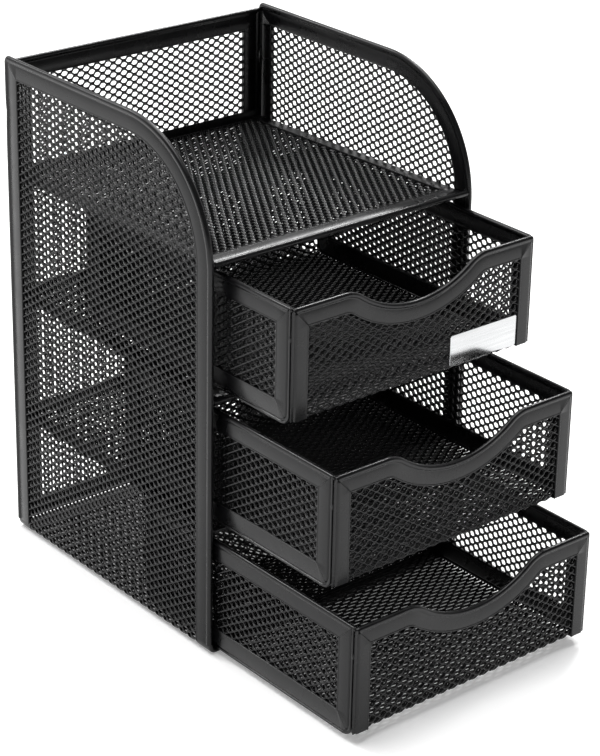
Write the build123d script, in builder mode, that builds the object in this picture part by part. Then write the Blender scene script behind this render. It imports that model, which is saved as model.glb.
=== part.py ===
from build123d import *
import math
import os

os.makedirs("parts", exist_ok=True)

# Mesh desk organizer: open top tray over three sliding drawers.
# Millimetres. Origin at the centre of the cabinet's base, which rests on z = 0.
# +X to the viewer's right, -Y to the front where the drawers come out, +Z up.

# ---- cabinet ----
WIDTH = 130.0          # over the side bindings
DEPTH = 133.0
HEIGHT = 208.0         # top edge of the side walls
CURVE_R = 50.5         # quarter round at the top front of each side wall
BACK_HEIGHT = 206.0    # top edge of the back panel

SHEET = 0.8            # expanded-metal sheet over its raised strands
LEG = 0.5              # one leg of the folded edge strip
STACK = SHEET + 2 * LEG
BEAD = 2.4             # rolled outer edge of the wall strips
STRIP = 8.5            # width of the edge strips
FOOT = 4.0             # lower end of the wall strips, above the bottom bend
BEND_R = 3.0           # bottom bend of the wraparound sheet
BASE_BEAD = 1.7        # lower edge roll of the base strips, so the drawer clears it

HALF_W = WIDTH / 2
HALF_D = DEPTH / 2
WALL_MID = HALF_W - BEAD / 2            # middle plane of each wall
WALL_OUT = WALL_MID + SHEET / 2         # outer face of the wall sheet
CURVE_Y = -HALF_D + CURVE_R
CURVE_Z = HEIGHT - CURVE_R
INNER_X = 62.4                          # half width of what fits between the walls

# ---- tray and shelves ----
TRAY_Z = 160.1                          # top of the tray strips at mid depth
TRAY_FALL = 0.022                       # the tray falls a little towards the back
SHELF_Z = (106.9, 53.1)                 # upper and lower shelf
TRAY_SIDE_STRIP = 5.5
TRAY_BEAD = 2.5
TRAY_BACK_Y = 63.9
FLANGE = 3.0                            # upturned rear flange

# ---- drawers ----
DR_HALF_W = 59.5
DR_LEN = 128.5
DR_H = 46.6
DR_BEAD = 2.2
DR_STRIP = 8.0
DR_UPRIGHT = 7.2
DR_LOW_STRIP = 9.0
DR_BEND_R = 6.0                         # front and back bends of the tub sheet
DR_SIDE_MID = DR_HALF_W - DR_BEAD / 2   # middle plane of each side panel
DR_SIDE_IN = DR_HALF_W - DR_BEAD       # half width of the tub between the sides
BLEND_X, BLEND_R = 35.0, 14.0           # shoulders of the wavy front edge
VALLEY_DEPTH = 11.5
VALLEY_R = (BLEND_X**2 + (BLEND_R - VALLEY_DEPTH) ** 2 - BLEND_R**2) / (2 * VALLEY_DEPTH)

# name, middle x, front face y and underside z as stored: pulled out by growing
# amounts, and a little to one side or the other in their loose openings
DRAWERS = (
    ("top", 1.8, -105.2, 109.7),
    ("middle", 0.0, -132.3, 55.3),
    ("bottom", -2.2, -148.2, 2.2),
)

LABEL_X = (17.5, 51.8)
LABEL_Z = (3.1, 15.9)
LABEL_T = 0.45


# =====================================================================
# Cabinet: wraparound mesh (left wall, base, right wall bent from one sheet)
# =====================================================================
EDGE = BEAD  # the sheet stops where the rolled edge begins

with BuildPart() as wraparound_mesh:
    with BuildSketch(Plane.XZ.offset(-(HALF_D - EDGE))):
        with BuildLine():
            Polyline(
                (-WALL_OUT, HEIGHT - EDGE),
                (-WALL_OUT, 0),
                (WALL_OUT, 0),
                (WALL_OUT, HEIGHT - EDGE),
                (WALL_OUT - SHEET, HEIGHT - EDGE),
                (WALL_OUT - SHEET, SHEET),
                (-WALL_OUT + SHEET, SHEET),
                (-WALL_OUT + SHEET, HEIGHT - EDGE),
                close=True,
            )
        make_face()
    extrude(amount=DEPTH - 2 * EDGE)
    inner = wraparound_mesh.edges().filter_by(Axis.Y).filter_by(
        lambda e: abs(e.center().Z - SHEET) < 0.01
    )
    fillet(inner, BEND_R - SHEET)
    outer = wraparound_mesh.edges().filter_by(Axis.Y).filter_by(
        lambda e: abs(e.center().Z) < 0.01
    )
    fillet(outer, BEND_R)
    # quarter round at the top front of both walls
    with BuildSketch(Plane.YZ.offset(-HALF_W - 1)):
        with BuildLine():
            Line((CURVE_Y, HEIGHT + 5), (-HALF_D - 5, HEIGHT + 5))
            Line((-HALF_D - 5, HEIGHT + 5), (-HALF_D - 5, CURVE_Z))
            Line((-HALF_D - 5, CURVE_Z), (CURVE_Y - CURVE_R + EDGE, CURVE_Z))
            ThreePointArc(
                (CURVE_Y - CURVE_R + EDGE, CURVE_Z),
                (
                    CURVE_Y - (CURVE_R - EDGE) * math.sqrt(0.5),
                    CURVE_Z + (CURVE_R - EDGE) * math.sqrt(0.5),
                ),
                (CURVE_Y, CURVE_Z + CURVE_R - EDGE),
            )
            Line((CURVE_Y, CURVE_Z + CURVE_R - EDGE), (CURVE_Y, HEIGHT + 5))
        make_face()
    extrude(amount=WIDTH + 2, mode=Mode.SUBTRACT)
wraparound_mesh.part.label = "wraparound_mesh"
export_step(wraparound_mesh.part, "parts/wraparound_mesh.step")

# =====================================================================
# Cabinet: side wall bindings (front, curve, top and back in one strip)
# =====================================================================
for node, sign in (("left_side_binding", -1), ("right_side_binding", 1)):
    with BuildPart() as side_binding:
        # two legs, and the fold that closes them along the edge
        for low, thick, width in (
            (WALL_MID - STACK / 2, LEG, STRIP),
            (WALL_MID + SHEET / 2, LEG, STRIP),
            (WALL_MID - STACK / 2, STACK, BEAD),
        ):
            near = low if sign > 0 else -low - thick
            with BuildSketch(Plane.YZ.offset(near)):
                for inset, how in ((BEAD / 2, Mode.ADD), (width, Mode.SUBTRACT)):
                    half = HALF_D - inset
                    r = CURVE_R - inset
                    with BuildLine():
                        Line((-half, FOOT), (-half, CURVE_Z))
                        ThreePointArc(
                            (-half, CURVE_Z),
                            (CURVE_Y - r * math.sqrt(0.5), CURVE_Z + r * math.sqrt(0.5)),
                            (CURVE_Y, CURVE_Z + r),
                        )
                        Line((CURVE_Y, CURVE_Z + r), (half, CURVE_Z + r))
                        Line((half, CURVE_Z + r), (half, FOOT))
                        Line((half, FOOT), (-half, FOOT))
                    make_face(mode=how)
            extrude(amount=thick)
        # rolled edge
        half = HALF_D - BEAD / 2
        r = CURVE_R - BEAD / 2
        with BuildLine(Plane.YZ.offset(sign * WALL_MID)) as roll:
            Line((-half, FOOT), (-half, CURVE_Z))
            ThreePointArc(
                (-half, CURVE_Z),
                (CURVE_Y - r * math.sqrt(0.5), CURVE_Z + r * math.sqrt(0.5)),
                (CURVE_Y, CURVE_Z + r),
            )
            Line((CURVE_Y, CURVE_Z + r), (half, CURVE_Z + r))
            Line((half, CURVE_Z + r), (half, FOOT))
        with BuildSketch(Plane(origin=roll.wire() @ 0, z_dir=roll.wire() % 0)):
            Circle(BEAD / 2)
        sweep(path=roll.wire(), transition=Transition.RIGHT)
    side_binding.part.label = node
    export_step(side_binding.part, f"parts/{node}.step")

# =====================================================================
# Cabinet: base bindings, one strip along the front and one along the rear,
# each following both bottom bends. Flush with z = 0 below.
# =====================================================================
for node, sign in (("base_front_binding", -1), ("base_rear_binding", 1)):
    with BuildPart() as base_binding:
        with BuildLine(Plane.XZ) as run:
            FilletPolyline(
                (-WALL_OUT, FOOT),
                (-WALL_OUT, 0),
                (WALL_OUT, 0),
                (WALL_OUT, FOOT),
                radius=BEND_R,
            )
        edge_y = sign * (HALF_D - BASE_BEAD / 2)
        stop_y = sign * (HALF_D - EDGE)
        inner_y = sign * (HALF_D - STRIP)
        with BuildSketch(
            Plane(origin=(-WALL_OUT, 0, FOOT), x_dir=(0, 1, 0), z_dir=(0, 0, -1))
        ):
            # across the strip: y, and depth into the cabinet from the sheet's outer face
            with BuildLine():
                Polyline(
                    (edge_y, 0),
                    (stop_y, 0),
                    (stop_y, SHEET),
                    (inner_y, SHEET),
                    (inner_y, SHEET + LEG),
                    (edge_y, SHEET + LEG),
                    close=True,
                )
            make_face()
            with Locations((edge_y, BASE_BEAD / 2)):
                Circle(BASE_BEAD / 2)
        sweep(path=run.wire())
    base_binding.part.label = node
    export_step(base_binding.part, f"parts/{node}.step")

# =====================================================================
# Cabinet: back panel, a mesh sheet in four mitred strips
# =====================================================================
BACK_MID = 65.3
BACK_LOW = BASE_BEAD + 0.9
BACK_BEAD = 2.2

with BuildPart() as back_panel_mesh:
    with BuildSketch(Plane.XZ.offset(-(BACK_MID + SHEET / 2))):
        with Locations((0, (BACK_LOW + BACK_HEIGHT) / 2)):
            Rectangle(
                2 * INNER_X - 2 * BACK_BEAD, BACK_HEIGHT - BACK_LOW - 2 * BACK_BEAD
            )
    extrude(amount=SHEET)
back_panel_mesh.part.label = "back_panel_mesh"
export_step(back_panel_mesh.part, "parts/back_panel_mesh.step")

with BuildPart() as back_panel_binding:
    for far, thick, width in (
        (BACK_MID + STACK / 2, LEG, STRIP),
        (BACK_MID - SHEET / 2, LEG, STRIP),
        (BACK_MID + STACK / 2, STACK, BACK_BEAD),
    ):
        with BuildSketch(Plane.XZ.offset(-far)):
            with Locations((0, (BACK_LOW + BACK_HEIGHT) / 2)):
                Rectangle(
                    2 * INNER_X - BACK_BEAD, BACK_HEIGHT - BACK_LOW - BACK_BEAD
                )
                Rectangle(
                    2 * INNER_X - 2 * width,
                    BACK_HEIGHT - BACK_LOW - 2 * width,
                    mode=Mode.SUBTRACT,
                )
        extrude(amount=thick)
    bx = INNER_X - BACK_BEAD / 2
    z_lo = BACK_LOW + BACK_BEAD / 2
    z_hi = BACK_HEIGHT - BACK_BEAD / 2
    with BuildLine(Plane.XZ.offset(-BACK_MID)) as rim:
        Polyline((0, z_lo), (bx, z_lo), (bx, z_hi), (-bx, z_hi), (-bx, z_lo), (0, z_lo))
    with BuildSketch(Plane(origin=rim.wire() @ 0, z_dir=rim.wire() % 0)):
        Circle(BACK_BEAD / 2)
    sweep(path=rim.wire(), transition=Transition.RIGHT)
back_panel_binding.part.label = "back_panel_binding"
export_step(back_panel_binding.part, "parts/back_panel_binding.step")

# =====================================================================
# Cabinet: tray floor and two shelves, each a mesh sheet in a folded frame
# with a rolled front edge and an upturned flange along the rear
# =====================================================================
for node, mid_z, fall in (
    ("tray", TRAY_Z, TRAY_FALL),
    ("upper_shelf", SHELF_Z[0], 0.0),
    ("lower_shelf", SHELF_Z[1], 0.0),
):
    norm = math.hypot(1.0, fall)
    up = (0, fall / norm, 1 / norm)
    front_y = -(HALF_D - TRAY_BEAD / 2) * norm   # axis of the rolled edge, in the plane
    back_y = TRAY_BACK_Y * norm
    deck = Plane(origin=(0, 0, mid_z), x_dir=(1, 0, 0), z_dir=up)
    hx = INNER_X

    with BuildPart() as floor_mesh:
        with BuildSketch(deck.offset(-LEG - SHEET)):
            with Locations((0, (front_y + TRAY_BEAD / 2 + back_y - LEG) / 2)):
                Rectangle(2 * hx - 2 * LEG, back_y - LEG - front_y - TRAY_BEAD / 2)
        extrude(amount=SHEET)
    floor_mesh.part.label = f"{node}_mesh"
    export_step(floor_mesh.part, f"parts/{node}_mesh.step")

    with BuildPart() as floor_binding:
        for low in (-LEG, -STACK):
            with BuildSketch(deck.offset(low)):
                with Locations((0, (front_y + back_y) / 2)):
                    Rectangle(2 * hx, back_y - front_y)
                with Locations((0, (front_y - TRAY_BEAD / 2 + STRIP + 1.5 + back_y - LEG) / 2)):
                    Rectangle(
                        2 * hx - 2 * TRAY_SIDE_STRIP,
                        back_y - LEG - (front_y - TRAY_BEAD / 2 + STRIP + 1.5),
                        mode=Mode.SUBTRACT,
                    )
            extrude(amount=LEG)
        # folds along both sides and the front
        with BuildSketch(deck.offset(-STACK)):
            with Locations((0, (front_y + back_y) / 2)):
                Rectangle(2 * hx, back_y - front_y)
            with Locations((0, (front_y + TRAY_BEAD / 2 + back_y - LEG) / 2)):
                Rectangle(
                    2 * hx - 2 * LEG,
                    back_y - LEG - (front_y + TRAY_BEAD / 2),
                    mode=Mode.SUBTRACT,
                )
        extrude(amount=STACK)
        # upturned rear flange
        with BuildSketch(deck):
            with Locations((0, back_y - LEG / 2)):
                Rectangle(2 * hx - 4, LEG)
        extrude(amount=FLANGE)
        # rolled front edge
        with BuildLine(deck.offset(-0.13)) as front_roll:
            Line((-hx, front_y), (hx, front_y))
        with BuildSketch(Plane(origin=front_roll.wire() @ 0, z_dir=front_roll.wire() % 0)):
            Circle(TRAY_BEAD / 2)
        sweep(path=front_roll.wire())
    floor_binding.part.label = f"{node}_binding"
    export_step(floor_binding.part, f"parts/{node}_binding.step")

# =====================================================================
# Drawers: three alike, each a tub sheet (front, floor and back bent from one
# piece), two side panels and their folded strips
# =====================================================================
for tag, x0, y0, z0 in DRAWERS:
    # --- tub sheet ---
    skin = (DR_BEAD - SHEET) / 2           # from the front face to the sheet's face
    tub_half = DR_SIDE_IN
    with BuildPart() as tub_mesh:
        with BuildSketch(Plane.YZ.offset(x0 - tub_half)):
            y_a, y_b = y0 + skin, y0 + DR_LEN - skin
            top = z0 + DR_H - DR_BEAD
            with BuildLine():
                Polyline(
                    (y_a, top),
                    (y_a, z0),
                    (y_b, z0),
                    (y_b, top),
                    (y_b - SHEET, top),
                    (y_b - SHEET, z0 + SHEET),
                    (y_a + SHEET, z0 + SHEET),
                    (y_a + SHEET, top),
                    close=True,
                )
            make_face()
        extrude(amount=2 * tub_half)
        low_in = tub_mesh.edges().filter_by(Axis.X).filter_by(
            lambda e: abs(e.center().Z - z0 - SHEET) < 0.01
        )
        fillet(low_in, DR_BEND_R - SHEET)
        low_out = tub_mesh.edges().filter_by(Axis.X).filter_by(
            lambda e: abs(e.center().Z - z0) < 0.01
        )
        fillet(low_out, DR_BEND_R)
        # dip of the wavy front edge
        with BuildSketch(Plane(origin=(x0, y0 + 4, 0), x_dir=(1, 0, 0), z_dir=(0, -1, 0))):
            inset = DR_BEAD
            f = (BLEND_R - inset) / (BLEND_R + VALLEY_R)
            bz = z0 + DR_H - BLEND_R
            vz = z0 + DR_H - VALLEY_DEPTH + VALLEY_R
            tx, tz = BLEND_X * (1 - f), bz + (vz - bz) * f
            a_mid = math.radians(90) + (math.atan2(vz - bz, -BLEND_X) - math.radians(90)) / 2
            mx = BLEND_X + (BLEND_R - inset) * math.cos(a_mid)
            mz = bz + (BLEND_R - inset) * math.sin(a_mid)
            crest = z0 + DR_H - inset
            with BuildLine():
                Line((-BLEND_X, crest), (-BLEND_X, crest + 20))
                Line((-BLEND_X, crest + 20), (BLEND_X, crest + 20))
                Line((BLEND_X, crest + 20), (BLEND_X, crest))
                ThreePointArc((BLEND_X, crest), (mx, mz), (tx, tz))
                ThreePointArc((tx, tz), (0, vz - VALLEY_R - inset), (-tx, tz))
                ThreePointArc((-tx, tz), (-mx, mz), (-BLEND_X, crest))
            make_face()
        extrude(amount=8, mode=Mode.SUBTRACT)
    tub_mesh.part.label = f"{tag}_drawer_tub_mesh"
    export_step(tub_mesh.part, f"parts/{tag}_drawer_tub_mesh.step")

    # --- side panels and their bindings ---
    side_y0, side_y1 = y0 + DR_BEAD + 0.1, y0 + DR_LEN - DR_BEAD - 0.1
    for hand, sign in (("left", -1), ("right", 1)):
        low = DR_SIDE_MID - SHEET / 2
        near = x0 + (low if sign > 0 else -low - SHEET)
        with BuildPart() as side_mesh:
            with BuildSketch(Plane.YZ.offset(near)):
                with Locations(
                    ((side_y0 + side_y1) / 2, z0 + (DR_H - DR_BEAD + LEG) / 2)
                ):
                    Rectangle(side_y1 - side_y0 - 2 * LEG, DR_H - DR_BEAD - LEG)
            extrude(amount=SHEET)
            fillet(
                side_mesh.edges().filter_by(Axis.X).group_by(Axis.Z)[0], 5.0 - LEG
            )
        side_mesh.part.label = f"{tag}_drawer_{hand}_mesh"
        export_step(side_mesh.part, f"parts/{tag}_drawer_{hand}_mesh.step")

        with BuildPart() as side_frame:
            for low, thick, ring in (
                (DR_SIDE_MID - STACK / 2, LEG, False),
                (DR_SIDE_MID + SHEET / 2, LEG, False),
                (DR_SIDE_MID - STACK / 2, STACK, True),
            ):
                near = x0 + (low if sign > 0 else -low - thick)
                with BuildSketch(Plane.YZ.offset(near)):
                    with BuildLine():
                        FilletPolyline(
                            (side_y0, z0 + DR_H - DR_BEAD / 2),
                            (side_y0, z0),
                            (side_y1, z0),
                            (side_y1, z0 + DR_H - DR_BEAD / 2),
                            radius=5.0,
                        )
                        Line(
                            (side_y1, z0 + DR_H - DR_BEAD / 2),
                            (side_y0, z0 + DR_H - DR_BEAD / 2),
                        )
                    make_face()
                    if ring:
                        # room for the sheet inside the fold
                        with BuildLine():
                            FilletPolyline(
                                (side_y0 + LEG, z0 + DR_H - DR_BEAD),
                                (side_y0 + LEG, z0 + LEG),
                                (side_y1 - LEG, z0 + LEG),
                                (side_y1 - LEG, z0 + DR_H - DR_BEAD),
                                radius=5.0 - LEG,
                            )
                            Line(
                                (side_y1 - LEG, z0 + DR_H - DR_BEAD),
                                (side_y0 + LEG, z0 + DR_H - DR_BEAD),
                            )
                        make_face(mode=Mode.SUBTRACT)
                    else:
                        with Locations(
                            (
                                (side_y0 + side_y1) / 2,
                                z0 + (DR_LOW_STRIP + DR_H - DR_STRIP) / 2,
                            )
                        ):
                            Rectangle(
                                side_y1 - side_y0 - 2 * DR_STRIP,
                                DR_H - DR_STRIP - DR_LOW_STRIP,
                                mode=Mode.SUBTRACT,
                            )
                extrude(amount=thick)
            # rolled top edge
            with BuildSketch(Plane(origin=(x0, side_y1, 0), x_dir=(1, 0, 0), z_dir=(0, -1, 0))):
                with Locations((sign * DR_SIDE_MID, z0 + DR_H - DR_BEAD / 2)):
                    Circle(DR_BEAD / 2)
            extrude(amount=side_y1 - side_y0)
        side_frame.part.label = f"{tag}_drawer_{hand}_binding"
        export_step(side_frame.part, f"parts/{tag}_drawer_{hand}_binding.step")

    # --- front binding: two uprights and the wavy top strip ---
    with BuildPart() as front_binding:
        for near, thick, width, foot in (
            ((DR_BEAD - STACK) / 2, LEG, DR_STRIP, 2.5),
            ((DR_BEAD + SHEET) / 2, LEG, DR_STRIP, DR_BEND_R + 0.2),
            ((DR_BEAD - STACK) / 2, STACK, DR_BEAD, DR_BEND_R + 0.2),
        ):
            with BuildSketch(Plane(origin=(x0, y0 + near + thick, 0), x_dir=(1, 0, 0), z_dir=(0, -1, 0))):
                for inset, how in ((DR_BEAD / 2, Mode.ADD), (width, Mode.SUBTRACT)):
                    # the fold closes outside the tub sheet, which ends at the side panels
                    hx = DR_HALF_W - inset
                    if how == Mode.SUBTRACT:
                        hx = tub_half if thick > LEG else DR_HALF_W - DR_UPRIGHT
                    f = (BLEND_R - inset) / (BLEND_R + VALLEY_R)
                    bz = z0 + DR_H - BLEND_R
                    vz = z0 + DR_H - VALLEY_DEPTH + VALLEY_R
                    tx, tz = BLEND_X * (1 - f), bz + (vz - bz) * f
                    a_mid = math.radians(90) + (
                        math.atan2(vz - bz, -BLEND_X) - math.radians(90)
                    ) / 2
                    mx = BLEND_X + (BLEND_R - inset) * math.cos(a_mid)
                    mz = bz + (BLEND_R - inset) * math.sin(a_mid)
                    crest = z0 + DR_H - inset
                    with BuildLine():
                        Line((-hx, z0 + foot), (-hx, crest))
                        Line((-hx, crest), (-BLEND_X, crest))
                        ThreePointArc((-BLEND_X, crest), (-mx, mz), (-tx, tz))
                        ThreePointArc((-tx, tz), (0, vz - VALLEY_R - inset), (tx, tz))
                        ThreePointArc((tx, tz), (mx, mz), (BLEND_X, crest))
                        Line((BLEND_X, crest), (hx, crest))
                        Line((hx, crest), (hx, z0 + foot))
                        Line((hx, z0 + foot), (-hx, z0 + foot))
                    make_face(mode=how)
            extrude(amount=thick)
        # rolled edge, up one side, over the wave and down the other
        inset = DR_BEAD / 2
        hx = DR_HALF_W - inset
        f = (BLEND_R - inset) / (BLEND_R + VALLEY_R)
        bz = z0 + DR_H - BLEND_R
        vz = z0 + DR_H - VALLEY_DEPTH + VALLEY_R
        tx, tz = BLEND_X * (1 - f), bz + (vz - bz) * f
        a_mid = math.radians(90) + (math.atan2(vz - bz, -BLEND_X) - math.radians(90)) / 2
        mx = BLEND_X + (BLEND_R - inset) * math.cos(a_mid)
        mz = bz + (BLEND_R - inset) * math.sin(a_mid)
        crest = z0 + DR_H - inset
        with BuildLine(Plane(origin=(x0, y0 + DR_BEAD / 2, 0), x_dir=(1, 0, 0), z_dir=(0, -1, 0))) as wave:
            Line((-hx, z0 + DR_BEND_R + 0.2), (-hx, crest))
            Line((-hx, crest), (-BLEND_X, crest))
            ThreePointArc((-BLEND_X, crest), (-mx, mz), (-tx, tz))
            ThreePointArc((-tx, tz), (0, vz - VALLEY_R - inset), (tx, tz))
            ThreePointArc((tx, tz), (mx, mz), (BLEND_X, crest))
            Line((BLEND_X, crest), (hx, crest))
            Line((hx, crest), (hx, z0 + DR_BEND_R + 0.2))
        with BuildSketch(Plane(origin=wave.wire() @ 0, z_dir=wave.wire() % 0)):
            Circle(DR_BEAD / 2)
        sweep(path=wave.wire(), transition=Transition.RIGHT)
    front_binding.part.label = f"{tag}_drawer_front_binding"
    export_step(front_binding.part, f"parts/{tag}_drawer_front_binding.step")

    # --- rear binding: straight top ---
    with BuildPart() as rear_binding:
        yr = y0 + DR_LEN - DR_BEAD
        foot = z0 + DR_BEND_R + 0.2
        for near, thick, width, side in (
            ((DR_BEAD - STACK) / 2, LEG, DR_STRIP, DR_UPRIGHT),
            ((DR_BEAD + SHEET) / 2, LEG, DR_STRIP, DR_UPRIGHT),
            ((DR_BEAD - STACK) / 2, STACK, DR_BEAD, DR_HALF_W - tub_half),
        ):
            with BuildSketch(Plane(origin=(x0, yr + near + thick, 0), x_dir=(1, 0, 0), z_dir=(0, -1, 0))):
                hx = DR_HALF_W - DR_BEAD / 2
                high = z0 + DR_H - DR_BEAD / 2
                with Locations((0, (foot + high) / 2)):
                    Rectangle(2 * hx, high - foot)
                inner_high = z0 + DR_H - width
                with Locations((0, (foot + inner_high) / 2)):
                    Rectangle(
                        2 * (DR_HALF_W - side), inner_high - foot, mode=Mode.SUBTRACT
                    )
            extrude(amount=thick)
        with BuildLine(Plane(origin=(x0, yr + DR_BEAD / 2, 0), x_dir=(1, 0, 0), z_dir=(0, -1, 0))) as edge:
            Polyline((-hx, foot), (-hx, high), (hx, high), (hx, foot))
        with BuildSketch(Plane(origin=edge.wire() @ 0, z_dir=edge.wire() % 0)):
            Circle(DR_BEAD / 2)
        sweep(path=edge.wire(), transition=Transition.RIGHT)
    rear_binding.part.label = f"{tag}_drawer_rear_binding"
    export_step(rear_binding.part, f"parts/{tag}_drawer_rear_binding.step")

# =====================================================================
# Label plate on the top drawer's front: a thin blank metal plate
# =====================================================================
_, label_x, label_y, label_z = DRAWERS[0]
with BuildPart() as label_plate:
    plate_face = label_y + (DR_BEAD - SHEET) / 2
    with BuildSketch(Plane.XZ.offset(-plate_face)):
        with Locations(
            (label_x + sum(LABEL_X) / 2, label_z + sum(LABEL_Z) / 2)
        ):
            RectangleRounded(
                LABEL_X[1] - LABEL_X[0], LABEL_Z[1] - LABEL_Z[0], radius=0.9
            )
    extrude(amount=LABEL_T)
label_plate.part.label = "label_plate"
export_step(label_plate.part, "parts/label_plate.step")
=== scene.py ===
import math

import bpy
import numpy as np
from mathutils import Matrix, Vector


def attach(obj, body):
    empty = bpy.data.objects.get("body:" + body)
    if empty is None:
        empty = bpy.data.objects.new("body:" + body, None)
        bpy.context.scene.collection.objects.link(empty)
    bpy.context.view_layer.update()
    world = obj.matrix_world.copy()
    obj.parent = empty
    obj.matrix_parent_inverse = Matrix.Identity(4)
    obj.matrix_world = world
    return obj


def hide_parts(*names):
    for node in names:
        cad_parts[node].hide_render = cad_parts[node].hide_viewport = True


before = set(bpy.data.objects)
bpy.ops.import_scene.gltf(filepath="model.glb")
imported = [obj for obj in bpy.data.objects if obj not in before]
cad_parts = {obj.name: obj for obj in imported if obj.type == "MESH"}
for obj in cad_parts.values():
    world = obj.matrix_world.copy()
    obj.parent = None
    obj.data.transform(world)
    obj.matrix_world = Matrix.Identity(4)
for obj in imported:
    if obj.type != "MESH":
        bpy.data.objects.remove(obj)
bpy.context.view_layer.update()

# ------------------------------------------------------------------ dimensions (mm)
HALF_W, HALF_D, HEIGHT, CURVE_R = 65.0, 66.5, 208.0, 50.5
BACK_H = 206.0
STACK, BEAD, STRIP = 1.8, 2.4, 8.5
WALL_MID = HALF_W - BEAD / 2
CURVE_Y, CURVE_Z = -HALF_D + CURVE_R, HEIGHT - CURVE_R
INNER_X = 62.4
BEND_R = 2.6
BASE_MID = 0.6
FOOT = 4.0
TRAY_Z, TRAY_FALL = 160.1, 0.022
SHELF_Z = (106.9, 53.1)
TRAY_BACK = 63.9
DR_W, DR_LEN, DR_H, DR_BEAD = 59.5, 128.5, 46.6, 2.2
DR_STRIP, DR_UPRIGHT, DR_LOW = 8.0, 7.2, 9.0
BLEND_X, BLEND_R, VALLEY = 35.0, 14.0, 11.5
VALLEY_R = (BLEND_X**2 + (BLEND_R - VALLEY) ** 2 - BLEND_R**2) / (2 * VALLEY)
DRAWERS = (
    ("top", 1.8, -105.2, 109.7),
    ("middle", 0.0, -132.3, 55.3),
    ("bottom", -2.2, -148.2, 2.2),
)

# expanded mesh: a diamond is LWD long and SWD high, strand centres half of each apart
LWD, SWD = 5.3, 3.4


# ------------------------------------------------------------------ materials
def nodes_of(mat):
    mat.use_nodes = True
    nt = mat.node_tree
    nt.nodes.clear()
    return nt


def powder_coat(name, base, rough, ior, grain=1400.0, bump=0.10):
    """Black powder coat: fine orange-peel grain, a little unevenness in gloss and tone."""
    mat = bpy.data.materials.new(name)
    nt = nodes_of(mat)
    out = nt.nodes.new("ShaderNodeOutputMaterial")
    bsdf = nt.nodes.new("ShaderNodeBsdfPrincipled")
    bsdf.inputs["IOR"].default_value = ior
    co = nt.nodes.new("ShaderNodeTexCoord")
    fine = nt.nodes.new("ShaderNodeTexNoise")
    fine.inputs["Scale"].default_value = grain
    fine.inputs["Detail"].default_value = 3.0
    wide = nt.nodes.new("ShaderNodeTexNoise")
    wide.inputs["Scale"].default_value = 90.0
    wide.inputs["Detail"].default_value = 4.0
    ramp = nt.nodes.new("ShaderNodeValToRGB")
    ramp.color_ramp.elements[0].position = 0.3
    ramp.color_ramp.elements[0].color = (base[0] * 0.8, base[1] * 0.8, base[2] * 0.8, 1)
    ramp.color_ramp.elements[1].position = 0.75
    ramp.color_ramp.elements[1].color = (base[0] * 1.25, base[1] * 1.25, base[2] * 1.25, 1)
    rr = nt.nodes.new("ShaderNodeMapRange")
    rr.inputs["From Min"].default_value = 0.3
    rr.inputs["From Max"].default_value = 0.7
    rr.inputs["To Min"].default_value = rough - 0.05
    rr.inputs["To Max"].default_value = rough + 0.07
    bm = nt.nodes.new("ShaderNodeBump")
    bm.inputs["Strength"].default_value = bump
    bm.inputs["Distance"].default_value = 0.0002
    link = nt.links.new
    link(co.outputs["Object"], fine.inputs["Vector"])
    link(co.outputs["Object"], wide.inputs["Vector"])
    link(wide.outputs["Fac"], ramp.inputs["Fac"])
    link(ramp.outputs["Color"], bsdf.inputs["Base Color"])
    link(wide.outputs["Fac"], rr.inputs["Value"])
    link(rr.outputs["Result"], bsdf.inputs["Roughness"])
    link(fine.outputs["Fac"], bm.inputs["Height"])
    link(bm.outputs["Normal"], bsdf.inputs["Normal"])
    link(bsdf.outputs["BSDF"], out.inputs["Surface"])
    return mat


def satin_metal(name):
    """Bright satin metal for the blank label plate, brushed along its length."""
    mat = bpy.data.materials.new(name)
    nt = nodes_of(mat)
    out = nt.nodes.new("ShaderNodeOutputMaterial")
    bsdf = nt.nodes.new("ShaderNodeBsdfPrincipled")
    bsdf.inputs["Metallic"].default_value = 1.0
    co = nt.nodes.new("ShaderNodeTexCoord")
    mp = nt.nodes.new("ShaderNodeMapping")
    mp.inputs["Scale"].default_value = (60.0, 1500.0, 1500.0)
    noise = nt.nodes.new("ShaderNodeTexNoise")
    noise.inputs["Scale"].default_value = 1.0
    noise.inputs["Detail"].default_value = 5.0
    ramp = nt.nodes.new("ShaderNodeValToRGB")
    ramp.color_ramp.elements[0].position = 0.25
    ramp.color_ramp.elements[0].color = (0.46, 0.465, 0.47, 1)
    ramp.color_ramp.elements[1].position = 0.8
    ramp.color_ramp.elements[1].color = (0.58, 0.585, 0.59, 1)
    rr = nt.nodes.new("ShaderNodeMapRange")
    rr.inputs["To Min"].default_value = 0.14
    rr.inputs["To Max"].default_value = 0.24
    link = nt.links.new
    link(co.outputs["Object"], mp.inputs["Vector"])
    link(mp.outputs["Vector"], noise.inputs["Vector"])
    link(noise.outputs["Fac"], ramp.inputs["Fac"])
    link(ramp.outputs["Color"], bsdf.inputs["Base Color"])
    link(noise.outputs["Fac"], rr.inputs["Value"])
    link(rr.outputs["Result"], bsdf.inputs["Roughness"])
    link(bsdf.outputs["BSDF"], out.inputs["Surface"])
    return mat


STRIP_MAT = powder_coat("strip_powder_coat", (0.0035, 0.0035, 0.004), 0.27, 1.37, bump=0.06)
MESH_MAT = powder_coat("mesh_powder_coat", (0.0035, 0.0035, 0.004), 0.2, 1.42, bump=0.03)
PLATE_MAT = satin_metal("plate_metal")


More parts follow.
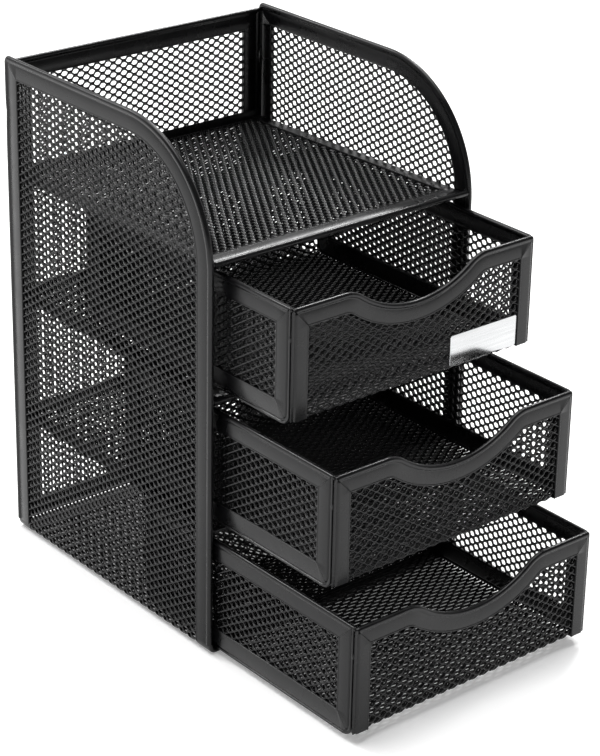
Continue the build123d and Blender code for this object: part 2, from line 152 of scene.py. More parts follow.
# ------------------------------------------------------------------ mesh objects
def build_mesh(name, verts, quads=None, polys=(), sharp=40.0):
    """A mesh from vertices in mm, an array of quads and a list of other polygons."""
    verts = np.asarray(verts, float) * 0.001
    quads = np.zeros((0, 4), np.int32) if quads is None else np.asarray(quads, np.int32)
    me = bpy.data.meshes.new(name)
    me.vertices.add(len(verts))
    me.vertices.foreach_set("co", verts.astype(np.float32).ravel())
    extra = [i for p in polys for i in p]
    sizes = np.concatenate([np.full(len(quads), 4, np.int32), np.array([len(p) for p in polys], np.int32)]).astype(np.int32)
    loops = np.concatenate([quads.ravel(), np.array(extra, np.int32)]).astype(np.int32)
    me.loops.add(len(loops))
    me.loops.foreach_set("vertex_index", loops)
    me.polygons.add(len(sizes))
    starts = np.concatenate([[0], np.cumsum(sizes)[:-1]]).astype(np.int32)
    me.polygons.foreach_set("loop_start", starts)
    me.polygons.foreach_set("loop_total", sizes)
    me.polygons.foreach_set("use_smooth", np.ones(len(sizes), bool))
    me.update(calc_edges=True)
    me.validate()
    me.set_sharp_from_angle(angle=math.radians(sharp))
    return me


def place(name, me, mat, body, nodes, at=(0, 0, 0)):
    ob = bpy.data.objects.new(name, me)
    bpy.context.scene.collection.objects.link(ob)
    if not me.materials:
        me.materials.append(mat)
    ob.location = Vector(at) * 0.001
    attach(ob, body)
    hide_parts(*nodes)
    return ob


# ------------------------------------------------------------------ expanded mesh
# cross-section of a coated strand, flat but with rounded edges
BAR = [(1.0, 0.0), (0.58, 1.0), (-0.58, 1.0), (-1.0, 0.0), (-0.58, -1.0), (0.58, -1.0)]
TILT, WIDE, THICK, BOND = 42.0, 0.95, 0.92, 1.3


def strands(u0, u1, v0, v1, keep, put, tilt=TILT, width=WIDE, thick=THICK, bond=BOND, phase_u=0.0, phase_v=0.0):
    """Raised expanded mesh over u0..u1 by v0..v1, kept where keep(u, v) is true.

    Each strand zigzags between its lower bonds and its upper bonds, turned by the tilt
    about the long direction u, as slit and stretched sheet is.
    """
    th = math.radians(tilt)
    half = SWD / 2
    j = np.arange(math.floor((v0 - phase_v) / half) - 1, math.ceil((v1 - phase_v) / half) + 2)
    m = np.arange(math.floor((u0 - phase_u) / (LWD / 2)) - 1, math.ceil((u1 - phase_u) / (LWD / 2)) + 2)
    dv, dn = (width / 2) * math.cos(th), (width / 2) * abs(math.sin(th)) * (1 if tilt >= 0 else -1)
    J, M = np.meshgrid(j, m, indexing="ij")
    even = (J + M) % 2 == 0
    vb = np.where(even, J * half - dv, (J - 1) * half + dv) + phase_v
    nb = np.where(even, -dn, dn)
    ub = M * (LWD / 2) + phase_u
    # three stations for each column: bond start, bond end, middle of the run to the next
    U = np.stack([ub - bond / 2, ub + bond / 2, ub + LWD / 4], -1)
    v_next = np.roll(vb, -1, axis=1)
    n_next = np.roll(nb, -1, axis=1)
    V = np.stack([vb, vb, (vb + v_next) / 2], -1)
    N = np.stack([nb, nb, (nb + n_next) / 2], -1)
    W = np.stack([np.full(ub.shape, 1.03), np.full(ub.shape, 1.03), np.full(ub.shape, 1.16)], -1)
    U, V, N, W = (a[:, :-1].reshape(len(j), -1) for a in (U, V, N, W))
    S = U.shape[1]
    ct, st = math.cos(th), math.sin(th)
    corners = []
    for a, b in BAR:
        wv, wn = ct * a * width / 2 * W, st * a * width / 2 * W
        tv, tn = -st * b * thick / 2, ct * b * thick / 2
        corners.append(np.stack([U, V + wv + tv, N + wn + tn], -1))
    P = np.stack(corners, 2)  # rows, stations, corner, uvn
    mid_u = (U[:, :-1] + U[:, 1:]) / 2
    mid_v = (V[:, :-1] + V[:, 1:]) / 2
    K = keep(mid_u, mid_v) & (mid_u > u0) & (mid_u < u1) & (mid_v > v0) & (mid_v < v1)
    rows = len(j)
    k = len(BAR)
    index = np.arange(rows * S * k).reshape(rows, S, k)
    a, b = index[:, :-1], index[:, 1:]
    quads = []
    for c in range(k):
        d = (c + 1) % k
        quads.append(np.stack([a[..., c], b[..., c], b[..., d], a[..., d]], -1)[K])
    pad = np.zeros((rows, 1), bool)
    first = K & ~np.concatenate([pad, K[:, :-1]], 1)
    last = K & ~np.concatenate([K[:, 1:], pad], 1)
    quads += [a[first][:, [0, 1, 2, 3]], a[first][:, [0, 3, 4, 5]]]
    quads += [b[last][:, [3, 2, 1, 0]], b[last][:, [5, 4, 3, 0]]]
    Q = np.concatenate(quads)
    used, inverse = np.unique(Q.ravel(), return_inverse=True)
    uvn = P.reshape(-1, 3)[used]
    xyz = put(uvn[:, 0], uvn[:, 1], uvn[:, 2])
    Q = inverse.reshape(-1, 4)
    # all faces look outwards: turn them round when the enclosed volume comes out negative
    a, b, c, d = (xyz[Q[:, i]] for i in range(4))
    if np.sum(a * np.cross(b, c)) + np.sum(a * np.cross(c, d)) < 0:
        Q = Q[:, ::-1]
    return xyz, Q


def flat(origin, a, b, n):
    origin, a, b, n = (np.array(x, float) for x in (origin, a, b, n))
    return lambda u, v, w: origin + u[:, None] * a + v[:, None] * b + w[:, None] * n


def bent(width, height, radius, base, place_uvn):
    """Sheet bent in a U. v runs down one wall, along the base and up the other; n points out."""
    wall, quarter, across = height - base - radius, math.pi / 2 * radius, width - 2 * radius
    marks = np.cumsum([wall, quarter, across, quarter, wall])

    def put(u, v, w):
        a = np.empty_like(v)
        b = np.empty_like(v)
        na = np.empty_like(v)
        nb = np.empty_like(v)
        half = width / 2
        k = v <= marks[0]
        a[k], b[k], na[k], nb[k] = -half, height - v[k], -1, 0
        k = (v > marks[0]) & (v <= marks[1])
        f = (v[k] - marks[0]) / radius
        na[k], nb[k] = -np.cos(f), -np.sin(f)
        a[k], b[k] = -half + radius + radius * na[k], base + radius + radius * nb[k]
        k = (v > marks[1]) & (v <= marks[2])
        a[k], b[k], na[k], nb[k] = -half + radius + v[k] - marks[1], base, 0, -1
        k = (v > marks[2]) & (v <= marks[3])
        f = (v[k] - marks[2]) / radius
        na[k], nb[k] = np.sin(f), -np.cos(f)
        a[k], b[k] = half - radius + radius * na[k], base + radius + radius * nb[k]
        k = v > marks[3]
        a[k], b[k], na[k], nb[k] = half, base + radius + v[k] - marks[3], 1, 0
        return place_uvn(u, a + w * na, b + w * nb)

    return put, marks


# ------------------------------------------------------------------ folded strips
def strip_profile(width, bead, stack=STACK, lip=0.16, seg=14):
    """Closed outline of a folded strip: rolled edge, groove, flat leg and a thin lip at
    the inner edge, the same on both faces. s runs inwards from the outer edge."""
    h = stack / 2
    top = []
    if bead:
        r = bead / 2
        for i in range(seg + 1):
            t = math.radians(180 - i * (180 - 42) / seg)
            top.append((r + r * math.cos(t), r * math.sin(t)))
        top += [(2 * r - 0.02, h * 0.78), (2 * r + 0.25, h * 0.8), (2 * r + 0.6, h)]
    else:
        top += [(0.0, 0.0), (0.0, h * 0.55), (0.12, h * 0.86), (0.4, h)]
    return both_faces(top, width, h, lip)


def rim_profile(width, stack=STACK, lip=0.16):
    """Strip whose outer edge is a narrow rim set off by a clear groove."""
    h = stack / 2
    top = [(0.0, 0.0), (0.03, h * 0.45), (0.2, h * 0.78), (0.55, h * 0.92), (0.95, h * 0.82), (1.2, h * 0.45), (1.5, h * 0.4), (1.75, h * 0.85), (2.1, h)]
    return both_faces(top, width, h, lip)


def recess_profile(width, stack=STACK, lip=0.16):
    """Strip that stands in from its outer edge, which is rolled under."""
    h = stack / 2
    top = [(0.0, 0.0), (0.1, h * 0.22), (0.5, h * 0.34), (1.15, h * 0.3), (1.3, h * 0.5), (1.45, h * 0.8), (1.75, h * 0.95), (2.3, h)]
    return both_faces(top, width, h, lip)


def both_faces(top, width, h, lip):
    top = top + [(width - 0.75, h), (width - 0.55, h + lip), (width - 0.2, h + lip), (width, h - 0.15), (width, h * 0.35)]
    bottom = [(s, -n) for s, n in reversed(top) if n > 1e-9]
    return np.array(top + bottom)


def offsets(path, first=None, last=None):
    """Inward vectors at each point of a 2D path, to the right of its direction of travel;
    first and last may set the mitre at the ends."""
    P = np.array(path, float)
    d = P[1:] - P[:-1]
    d /= np.linalg.norm(d, axis=1)[:, None]
    n = np.stack([d[:, 1], -d[:, 0]], 1)
    m = np.empty_like(P)
    m[0], m[-1] = n[0], n[-1]
    if len(P) > 2:
        dot = np.sum(n[:-1] * n[1:], 1)
        m[1:-1] = (n[:-1] + n[1:]) / (1 + dot)[:, None]
    if first is not None:
        m[0] = first
    if last is not None:
        m[-1] = last
    return P, m


def strip(path, profile, put, first=None, last=None, gap0=0.0, gap1=0.0):
    """Sweeps the profile along a 2D path in a panel's plane. Mitred ends can stand back
    a little so that the seam shows."""
    P, m = offsets(path, first, last)
    if gap0:
        P[0] += gap0 * (P[1] - P[0]) / np.linalg.norm(P[1] - P[0])
    if gap1:
        P[-1] += gap1 * (P[-2] - P[-1]) / np.linalg.norm(P[-2] - P[-1])
    k = len(profile)
    ab = P[:, None, :] + profile[None, :, 0, None] * m[:, None, :]
    nn = np.broadcast_to(profile[None, :, 1], ab.shape[:2])
    xyz = put(ab[..., 0].ravel(), ab[..., 1].ravel(), nn.ravel())
    return closed_sweep(xyz, len(P), k)


def band(outer, inner, width, profile, put, gap0=0.0, gap1=0.0):
    """Sweeps the profile between an outer and an inner line with the same number of points."""
    P, I = np.array(outer, float), np.array(inner, float)
    m = (I - P) / width
    for end, gap, nxt in ((0, gap0, 1), (-1, gap1, -2)):
        if gap:
            step = (P[nxt] - P[end]) / np.linalg.norm(P[nxt] - P[end])
            P[end] += gap * step
    ab = P[:, None, :] + profile[None, :, 0, None] * m[:, None, :]
    nn = np.broadcast_to(profile[None, :, 1], ab.shape[:2])
    return closed_sweep(put(ab[..., 0].ravel(), ab[..., 1].ravel(), nn.ravel()), len(P), len(profile))


def blob(centre, radii, turns=10, rings=7):
    """A small drop of weld under the coat."""
    c, r = np.array(centre, float), np.array(radii, float)
    V = []
    for i in range(1, rings):
        a = math.pi * i / rings
        for j in range(turns):
            b = 2 * math.pi * j / turns
            V.append(c + r * (math.sin(a) * math.cos(b), math.sin(a) * math.sin(b), math.cos(a)))
    idx = np.arange(len(V)).reshape(rings - 1, turns)
    quads = np.stack([idx[:-1], np.roll(idx[:-1], -1, 1), np.roll(idx[1:], -1, 1), idx[1:]], -1).reshape(-1, 4)
    return np.array(V), quads, [list(idx[0][::-1]), list(idx[-1])]


def closed_sweep(xyz, rows, k):
    index = np.arange(rows * k).reshape(rows, k)
    a, b = index[:-1], index[1:]
    quads = np.stack([a, np.roll(a, -1, 1), np.roll(b, -1, 1), b], -1).reshape(-1, 4)
    caps = [list(index[0][::-1]), list(index[-1])]
    return xyz, quads, caps


def merge(parts):
    V, Q, P, n = [], [], [], 0
    for xyz, quads, caps in parts:
        V.append(xyz)
        Q.append(np.asarray(quads).reshape(-1, 4) + n)
        P += [[i + n for i in c] for c in caps]
        n += len(xyz)
    return np.concatenate(V), np.concatenate(Q), P


def fix_normals(me):
    import bmesh

    bm = bmesh.new()
    bm.from_mesh(me)
    bmesh.ops.recalc_face_normals(bm, faces=bm.faces)
    bm.to_mesh(me)
    bm.free()


def strip_mesh(name, parts, sharp=38.0):
    V, Q, P = merge(parts)
    me = build_mesh(name, V, Q, P, sharp)
    fix_normals(me)
    me.polygons.foreach_set("use_smooth", np.ones(len(me.polygons), bool))
    me.set_sharp_from_angle(angle=math.radians(sharp))
    return me


def arc(cx, cy, r, a0, a1, n):
    return [(cx + r * math.cos(math.radians(a0 + (a1 - a0) * i / n)), cy + r * math.sin(math.radians(a0 + (a1 - a0) * i / n))) for i in range(n + 1)]


# ------------------------------------------------------------------ cabinet
# walls and base: one bent sheet, shown in three pieces that meet at the bends
def wall_keep(y, z, inset):
    inside = (np.abs(y) < HALF_D - inset) & (z < HEIGHT - inset)
    corner = (y < CURVE_Y) & (z > CURVE_Z)
    r = np.hypot(y - CURVE_Y, z - CURVE_Z)
    return inside & (~corner | (r < CURVE_R - inset))


put_u, marks = bent(2 * WALL_MID, HEIGHT, BEND_R, BASE_MID, lambda u, a, b: np.stack([a, u, b], 1))
INSET = STRIP - 1.0


def wrap_piece(v0, v1, wall):
    def keep(u, v):
        if wall == "left":
            return wall_keep(u, np.maximum(HEIGHT - v, 20.0), INSET)
        if wall == "right":
            return wall_keep(u, np.maximum(BASE_MID + BEND_R + v - marks[3], 20.0), INSET)
        return np.abs(u) < HALF_D - INSET

    # the base lies on the table, so its strands are flattened
    size = dict(tilt=-18.0, width=0.98, thick=0.48, bond=2.0) if wall == "base" else dict(tilt=-TILT)
    return strands(-HALF_D, HALF_D, v0, v1, keep, put_u, **size)


cut_a, cut_b = marks[0] + 1.0, marks[3] - 1.0
for name, v0, v1, wall in (
    ("wraparound_left_wall", 0.0, cut_a, "left"),
    ("wraparound_base", cut_a, cut_b, "base"),
    ("wraparound_right_wall", cut_b, marks[4], "right"),
):
    xyz, quads = wrap_piece(v0, v1, wall)
    place(name, build_mesh(name, xyz, quads, sharp=180.0), MESH_MAT, "cabinet", ["wraparound_mesh"])

# side wall bindings
wall_profile = strip_profile(STRIP, BEAD)
for name, sign in (("left_side_binding", -1), ("right_side_binding", 1)):
    put = flat((sign * WALL_MID, 0, 0), (0, 1, 0), (0, 0, 1), (sign, 0, 0))
    d, w, r = HALF_D, STRIP, 2.3
    inner_corner = (d - w, HEIGHT - w)
    sweep = arc(CURVE_Y, CURVE_Z, CURVE_R, 180, 90, 40)
    sweep_in = arc(CURVE_Y, CURVE_Z, CURVE_R - w, 180, 90, 40)
    top_arc = arc(d - r, HEIGHT - r, r, 90, 45, 5)
    back_arc = arc(d - r, HEIGHT - r, r, 45, 0, 5)
    front = [(-d, FOOT)] + sweep + [(d - w, HEIGHT)] + top_arc
    front_in = [(-d + w, FOOT)] + sweep_in + [inner_corner] * (1 + len(top_arc))
    # the rolled rear edge has a slight crimp below the corner
    crimp = [(0.0, 190.0), (0.22, 187.5), (0.5, 185.5), (0.35, 183.0), (0.1, 179.0)]
    back = back_arc + [(d, HEIGHT - w)] + [(d - c, z) for c, z in crimp] + [(d, 170.0), (d, FOOT)]
    back_in = [inner_corner] * (len(back_arc) + 1) + [(d - w, z) for c, z in crimp] + [(d - w, 170.0), (d - w, FOOT)]
    parts = [
        band(front, front_in, w, wall_profile, put, gap1=0.06),
        band(back, back_in, w, wall_profile, put, gap0=0.06),
    ]
    place(name, strip_mesh(name, parts), STRIP_MAT, "cabinet", [name])

# base bindings follow both bends; flush below, rolled edge just above
bead = 1.7
prof = []
for i in range(11):
    t = math.radians(270 - i * 18.0)
    prof.append((bead / 2 + bead / 2 * math.cos(t), bead / 2 + bead / 2 * math.sin(t)))
prof += [(bead / 2 + 0.75, 1.35), (bead / 2 + 1.0, 1.2), (bead / 2 + 1.25, 1.38), (STRIP - 0.7, 1.38), (STRIP - 0.5, 1.5), (STRIP - 0.2, 1.5), (STRIP, 1.3), (STRIP, 0.0)]
prof = np.array(prof)
out_x, rr = WALL_MID + 0.4, 3.0
path = [(-out_x, FOOT)] + arc(-out_x + rr, rr, rr, 180, 270, 10) + arc(out_x - rr, rr, rr, 270, 360, 10) + [(out_x, FOOT)]
P, m = offsets(path)
m = -m
for name, sign in (("base_front_binding", -1), ("base_rear_binding", 1)):
    k = len(prof)
    xz = P[:, None, :] + prof[None, :, 1, None] * m[:, None, :]
    y = np.broadcast_to(sign * (HALF_D - prof[None, :, 0]), xz.shape[:2])
    xyz = np.stack([xz[..., 0], y, xz[..., 1]], -1).reshape(-1, 3)
    place(name, strip_mesh(name, [closed_sweep(xyz, len(P), k)]), STRIP_MAT, "cabinet", [name])

# back panel
BACK_MID, BACK_LOW = 65.3, 2.6
put = flat((0, BACK_MID, 0), (1, 0, 0), (0, 0, 1), (0, -1, 0))
xyz, quads = strands(
    -INNER_X, INNER_X, BACK_LOW, BACK_H,
    lambda u, v: (np.abs(u) < INNER_X - INSET) & (v > BACK_LOW + INSET) & (v < BACK_H - INSET),
    put, tilt=TILT,
)
place("back_panel_mesh", build_mesh("back_panel_mesh", xyz, quads, sharp=180.0), MESH_MAT, "cabinet", ["back_panel_mesh"])
bp = strip_profile(STRIP, 2.2)
x, z0, z1 = INNER_X, BACK_LOW, BACK_H
parts = [
    strip([(-x, z0), (-x, z1)], bp, put, first=(1, 1), last=(1, -1), gap0=0.05, gap1=0.05),
    strip([(-x, z1), (x, z1)], bp, put, first=(1, -1), last=(-1, -1), gap0=0.05, gap1=0.05),
    strip([(x, z1), (x, z0)], bp, put, first=(-1, -1), last=(-1, 1), gap0=0.05, gap1=0.05),
    strip([(x, z0), (-x, z0)], bp, put, first=(-1, 1), last=(1, 1), gap0=0.05, gap1=0.05),
]
place("back_panel_binding", strip_mesh("back_panel_binding", parts), STRIP_MAT, "cabinet", ["back_panel_binding"])

# tray and shelves
for node, zc, fall in (("tray", TRAY_Z, TRAY_FALL), ("upper_shelf", SHELF_Z[0], 0.0), ("lower_shelf", SHELF_Z[1], 0.0)):
    nm = math.hypot(1.0, fall)
    ay, up = np.array((0, 1, -fall)) / nm, np.array((0, fall, 1)) / nm
    origin = np.array((0, 0, zc)) - up * (STACK / 2)
    put_floor = flat(origin, ay, (1, 0, 0), up)      # u front to back, v across
    xyz, quads = strands(
        -HALF_D, TRAY_BACK, -INNER_X, INNER_X,
        lambda u, v: (u > -HALF_D + 9.2) & (u < TRAY_BACK - 0.8) & (np.abs(v) < INNER_X - 4.8),
        put_floor, tilt=-42.0, width=0.94, thick=0.92, bond=1.9,
    )
    place(f"{node}_mesh", build_mesh(f"{node}_mesh", xyz, quads, sharp=180.0), MESH_MAT, "cabinet", [f"{node}_mesh"])
    put = flat(origin, (1, 0, 0), ay, up)
    yf, yb = -HALF_D * nm, TRAY_BACK * nm
    fw, sw = 10.0, 5.5
    # rolled front edge stands a little above the strip
    front = strip_profile(fw, 2.5)
    k = front[:, 0] < 2.51
    front[k, 1] += 0.77
    side = strip_profile(sw, 0, lip=0.14)
    parts = [
        strip([(INNER_X, yf), (-INNER_X, yf)], front, put, first=(-sw / fw, 1), last=(sw / fw, 1), gap0=0.05, gap1=0.05),
        strip([(-INNER_X, yf), (-INNER_X, yb)], side, put, first=(1, fw / sw), gap0=0.05),
        strip([(INNER_X, yb), (INNER_X, yf)], side, put, last=(-1, fw / sw), gap1=0.05),
    ]
    # upturned flange along the rear
    flange = np.array([(0.0, -0.9), (0.0, 3.6), (-0.18, 3.9), (-0.42, 3.9), (-0.6, 3.6), (-0.6, 0.35), (-0.9, 0.05), (-1.6, -0.25), (-1.6, -0.9)])
    xs = np.array((-INNER_X + 1.0, INNER_X - 1.0))
    pts = np.concatenate([put(np.full(len(flange), x), yb + flange[:, 0], flange[:, 1]) for x in xs])
    parts.append(closed_sweep(pts, 2, len(flange)))
    for sign in (-1, 1):
        end = put(np.array([sign * (INNER_X - 0.2)]), np.array([yf + 1.3]), np.array([1.0]))[0]
        parts.append(blob(end, (1.0, 0.9, 1.1)))
    place(f"{node}_binding", strip_mesh(f"{node}_binding", parts), STRIP_MAT, "cabinet", [f"{node}_binding"])


# ------------------------------------------------------------------ drawers, in their own coordinates
def wave_points(inset, n=10):
    """Top edge of the drawer front, left to right, for a line inset below it."""
    f = (BLEND_R - inset) / (BLEND_R + VALLEY_R)
    bz, vz = DR_H - BLEND_R, DR_H - VALLEY + VALLEY_R
    tx, tz = BLEND_X * (1 - f), bz + (vz - bz) * f
    a = math.degrees(math.atan2(vz - bz, BLEND_X))
    left = arc(-BLEND_X, bz, BLEND_R - inset, 90, a, n)
    half = math.degrees(math.asin(tx / (VALLEY_R + inset)))
    mid = arc(0, vz, VALLEY_R + inset, 270 - half, 270 + half, 3 * n)
    right = [(-p[0], p[1]) for p in reversed(left)]
    return left + mid[1:-1] + right


def wave_height(x, inset):
    pts = np.array([(-DR_W, DR_H - inset)] + wave_points(inset) + [(DR_W, DR_H - inset)])
    return np.interp(x, pts[:, 0], pts[:, 1])


tub_base = 0.6
tub_put, tub_marks = bent(
    DR_LEN - DR_BEAD, DR_H, 5.6, tub_base,
    lambda u, a, b: np.stack([u, a + DR_LEN / 2, b], 1),
)


def tub_keep(u, v):
    z = DR_H - v
    front = v < tub_marks[0]
    upright = (v < tub_marks[0]) | (v > tub_marks[3])
    ok = np.abs(u) < np.where(upright, DR_W - DR_UPRIGHT + 0.9, 57.2)
    ok &= ~front | (z < wave_height(u, DR_STRIP - 1.0))
    ok &= v < tub_marks[4] - DR_STRIP + 1.0
    return ok


xyz, quads = strands(-58, 58, 0.0, tub_marks[4], tub_keep, tub_put, tilt=-38.0, width=0.95, thick=0.84)
TUB = build_mesh("drawer_tub", xyz, quads, sharp=180.0)

SIDE_MID = DR_W - DR_BEAD / 2
SIDE_Y0, SIDE_Y1 = DR_BEAD + 0.1, DR_LEN - DR_BEAD - 0.1
SIDES, SIDE_STRIPS = {}, {}
for hand, sign in (("left", -1), ("right", 1)):
    put = flat((sign * SIDE_MID, 0, 0), (0, 1, 0), (0, 0, 1), (sign, 0, 0))
    xyz, quads = strands(
        SIDE_Y0, SIDE_Y1, 0, DR_H,
        lambda u, v: (u > SIDE_Y0 + 7) & (u < SIDE_Y1 - 7) & (v > 8) & (v < DR_H - 7),
        put, tilt=-sign * TILT,
    )
    SIDES[hand] = build_mesh(f"drawer_{hand}_side", xyz, quads, sharp=180.0)
    top, rim, low = strip_profile(DR_STRIP, DR_BEAD), rim_profile(DR_STRIP), rim_profile(DR_LOW)
    a, b, zt, w, lw, r = SIDE_Y0, SIDE_Y1, DR_H, DR_STRIP, DR_LOW, 4.6
    ends = [(a, zt), (a + w, zt), (b - w, zt), (b, zt)]
    ends_in = [(a + w, zt - w), (a + w, zt - w), (b - w, zt - w), (b - w, zt - w)]
    fl, fr = arc(a + r, r, r, 180, 225, 5), arc(b - r, r, r, 0, -45, 5)
    bl, br = arc(a + r, r, r, 225, 270, 5), arc(b - r, r, r, -45, -90, 5)
    parts = [
        band(ends, ends_in, w, top, put, gap0=0.05, gap1=0.05),
        band([(a, zt), (a, zt - w), (a, lw)] + fl, [(a + w, zt - w)] * 2 + [(a + w, lw)] * (1 + len(fl)), w, rim, put, gap0=0.05, gap1=0.06),
        band([(b, zt), (b, zt - w), (b, lw)] + fr, [(b - w, zt - w)] * 2 + [(b - w, lw)] * (1 + len(fr)), w, rim, put, gap0=0.05, gap1=0.06),
        band(
            bl + [(a + w, 0), (b - w, 0)] + br[::-1],
            [(a + w, lw)] * (len(bl) + 1) + [(b - w, lw)] * (1 + len(br)),
            lw, low, put, gap0=0.06, gap1=0.06,
        ),
        blob((sign * (DR_W - 0.75), a + 0.25, 34.5), (0.7, 0.75, 1.5)),
        blob((sign * (DR_W - 1.25), a - 0.1, zt - 0.95), (1.15, 0.8, 0.9)),
    ]
    SIDE_STRIPS[hand] = strip_mesh(f"drawer_{hand}_strips", parts)

top, up = strip_profile(DR_STRIP, DR_BEAD), recess_profile(DR_UPRIGHT)


def frame_parts(put, feet, wave):
    W, H, w, t, r = DR_W, DR_H, DR_UPRIGHT, DR_STRIP, 1.8
    inner = (-W + w, H - t)
    left_top, left_side = arc(-W + r, H - r, r, 135, 90, 4), arc(-W + r, H - r, r, 180, 135, 4)
    mid, mid_in = wave
    outer = left_top + [(-W + w, H)] + mid
    into = [inner] * (len(left_top) + 1) + mid_in
    flip = lambda pts: [(-x, z) for x, z in reversed(pts)]
    outer += flip(left_top + [(-W + w, H)])
    into += flip([inner] * (len(left_top) + 1))
    side = [(-W, feet), (-W, H - t)] + left_side
    side_in = [(-W + w, feet)] + [inner] * (1 + len(left_side))
    return [
        band(outer, into, t, top, put, gap0=0.07, gap1=0.07),
        band(side, side_in, w, up, put, gap1=0.07),
        band([(-x, z) for x, z in side], [(-x, z) for x, z in side_in], w, up, put, gap1=0.07),
    ]


parts = frame_parts(flat((0, DR_BEAD / 2, 0), (1, 0, 0), (0, 0, 1), (0, -1, 0)), 2.5, (wave_points(0.0), wave_points(DR_STRIP)))
FRONT = strip_mesh("drawer_front_strips", parts)
parts = frame_parts(flat((0, DR_LEN - DR_BEAD / 2, 0), (1, 0, 0), (0, 0, 1), (0, 1, 0)), 6.2, ([(0.0, DR_H)], [(0.0, DR_H - DR_STRIP)]))
REAR = strip_mesh("drawer_rear_strips", parts)

for tag, x0, y0, z0 in DRAWERS:
    at = (x0, y0, z0)
    body = f"{tag}_drawer"
    place(f"{tag}_drawer_tub_mesh", TUB, MESH_MAT, body, [f"{tag}_drawer_tub_mesh"], at)
    for hand in ("left", "right"):
        place(f"{tag}_drawer_{hand}_mesh", SIDES[hand], MESH_MAT, body, [f"{tag}_drawer_{hand}_mesh"], at)
        place(f"{tag}_drawer_{hand}_binding", SIDE_STRIPS[hand], STRIP_MAT, body, [f"{tag}_drawer_{hand}_binding"], at)
    place(f"{tag}_drawer_front_binding", FRONT, STRIP_MAT, body, [f"{tag}_drawer_front_binding"], at)
    place(f"{tag}_drawer_rear_binding", REAR, STRIP_MAT, body, [f"{tag}_drawer_rear_binding"], at)

# label plate: thin, blank, rounded corners and a fine bevel
lx0, lx1, lz0, lz1, t = 17.5, 51.8, 3.1, 15.9, 0.45
def plate_outline(inset, r):
    r = max(r - inset, 0.05)
    x0, x1, z0, z1 = lx0 + inset, lx1 - inset, lz0 + inset, lz1 - inset
    return arc(x1 - r, z1 - r, r, 0, 90, 5) + arc(x0 + r, z1 - r, r, 90, 180, 5) + arc(x0 + r, z0 + r, r, 180, 270, 5) + arc(x1 - r, z0 + r, r, 270, 360, 5)

rings = [(0.0, 0.9, 0.0), (0.0, 0.9, t - 0.12), (0.05, 0.9, t - 0.04), (0.14, 0.9, t)]
V = []
for inset, r, n in rings:
    V += [(px, (DR_BEAD - 0.8) / 2 - n, pz) for px, pz in plate_outline(inset, r)]
k = 24
V = np.array(V)
idx = np.arange(len(V)).reshape(len(rings), k)
quads = np.concatenate([np.stack([idx[i], np.roll(idx[i], -1), np.roll(idx[i + 1], -1), idx[i + 1]], -1) for i in range(len(rings) - 1)])
plate = build_mesh("label_plate", V, quads, [list(idx[0][::-1]), list(idx[-1])], sharp=60.0)
fix_normals(plate)
place("label_plate", plate, PLATE_MAT, "top_drawer", ["label_plate"], DRAWERS[0][1:])

# ------------------------------------------------------------------ floor, light, camera
def plain(name, colour, rough):
    mat = bpy.data.materials.new(name)
    nt = nodes_of(mat)
    out = nt.nodes.new("ShaderNodeOutputMaterial")
    bsdf = nt.nodes.new("ShaderNodeBsdfPrincipled")
    co = nt.nodes.new("ShaderNodeTexCoord")
    noise = nt.nodes.new("ShaderNodeTexNoise")
    noise.inputs["Scale"].default_value = 3.0
    ramp = nt.nodes.new("ShaderNodeValToRGB")
    ramp.color_ramp.elements[0].color = (*[c * 0.985 for c in colour], 1)
    ramp.color_ramp.elements[1].color = (*colour, 1)
    bsdf.inputs["Roughness"].default_value = rough
    bsdf.inputs["Emission Color"].default_value = (1.0, 1.0, 1.0, 1.0)
    bsdf.inputs["Emission Strength"].default_value = 0.26
    nt.links.new(co.outputs["Object"], noise.inputs["Vector"])
    nt.links.new(noise.outputs["Fac"], ramp.inputs["Fac"])
    nt.links.new(ramp.outputs["Color"], bsdf.inputs["Base Color"])
    nt.links.new(bsdf.outputs["BSDF"], out.inputs["Surface"])
    return mat


bpy.ops.mesh.primitive_plane_add(size=8.0, location=(0, 0, -0.0002))
floor = bpy.context.object
floor.name = "floor"
floor.data.materials.append(plain("pale_floor", (0.93, 0.93, 0.93), 0.9))

world = bpy.data.worlds.new("studio")
bpy.context.scene.world = world
world.use_nodes = True
bg = world.node_tree.nodes["Background"]
bg.inputs["Color"].default_value = (1, 1, 1, 1)
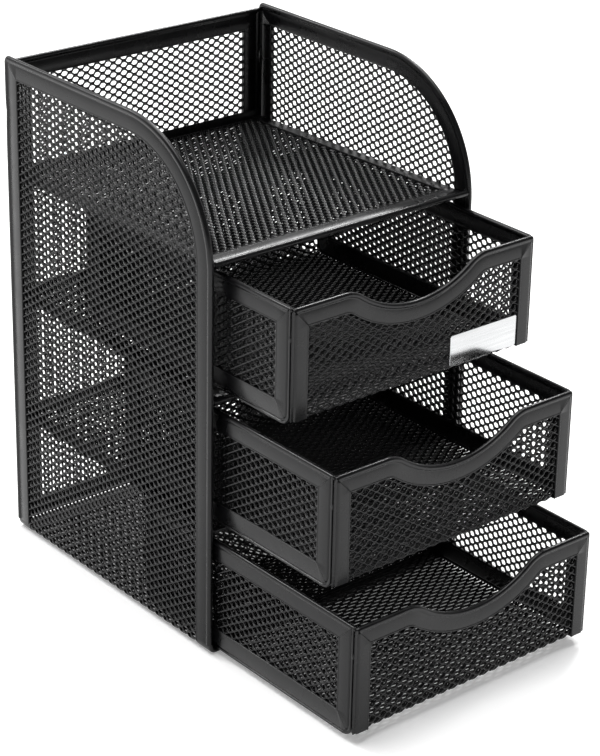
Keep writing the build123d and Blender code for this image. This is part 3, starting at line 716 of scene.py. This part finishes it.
# a white sweep behind the object, a dim room on the camera's side
wt = world.node_tree
way = wt.nodes.new("ShaderNodeTexCoord")
dot = wt.nodes.new("ShaderNodeVectorMath")
dot.operation = "DOT_PRODUCT"
dot.inputs[1].default_value = (0.25, 0.95, 0.15)
fade = wt.nodes.new("ShaderNodeMapRange")
fade.interpolation_type = "SMOOTHSTEP"
fade.inputs["From Min"].default_value = -0.2
fade.inputs["From Max"].default_value = 0.65
fade.inputs["To Min"].default_value = 0.15
fade.inputs["To Max"].default_value = 0.95
wt.links.new(way.outputs["Generated"], dot.inputs[0])
wt.links.new(dot.outputs["Value"], fade.inputs["Value"])
wt.links.new(fade.outputs["Result"], bg.inputs["Strength"])


def sun(name, towards, strength, angle):
    data = bpy.data.lights.new(name, "SUN")
    data.energy = strength
    data.angle = math.radians(angle)
    ob = bpy.data.objects.new(name, data)
    bpy.context.scene.collection.objects.link(ob)
    ob.rotation_mode = "QUATERNION"
    ob.rotation_quaternion = Vector(towards).to_track_quat("-Z", "Y")
    return ob


# softboxes overhead, behind, and behind to the right
sun("softbox_top", (0.0, -0.12, -1.0), 2.4, 46.0)
sun("softbox_back", (0.24, -0.71, -0.66), 0.8, 14.0)
sun("softbox_right", (-0.59, -0.40, -0.70), 1.3, 12.0)

CAM = dict(c=(-551.01191, -695.40876, 487.19801), rx=0.39679, ry=0.01985, rz=0.69869, f=2389.56747, px=300.0, py=288.0)
cz, sz, cx, sx = math.cos(CAM["rz"]), math.sin(CAM["rz"]), math.cos(CAM["rx"]), math.sin(CAM["rx"])
fwd = Vector((sz * cx, cz * cx, -sx))
right = Vector((cz, -sz, 0.0))
upv = right.cross(fwd)
r2 = right * math.cos(CAM["ry"]) + upv * math.sin(CAM["ry"])
u2 = -right * math.sin(CAM["ry"]) + upv * math.cos(CAM["ry"])
cam_data = bpy.data.cameras.new("camera")
cam = bpy.data.objects.new("camera", cam_data)
bpy.context.scene.collection.objects.link(cam)
cam.matrix_world = Matrix(((r2.x, u2.x, -fwd.x, CAM["c"][0] / 1000), (r2.y, u2.y, -fwd.y, CAM["c"][1] / 1000), (r2.z, u2.z, -fwd.z, CAM["c"][2] / 1000), (0, 0, 0, 1)))
cam_data.sensor_fit = "HORIZONTAL"
cam_data.sensor_width = 36.0
cam_data.lens = CAM["f"] / 600.0 * 36.0
cam_data.shift_x = (300.0 - CAM["px"]) / 600.0
cam_data.shift_y = (CAM["py"] - 378.0) / 600.0
cam_data.clip_start, cam_data.clip_end = 0.01, 20.0
bpy.context.scene.camera = cam
bpy.context.scene.view_settings.view_transform = "Standard"
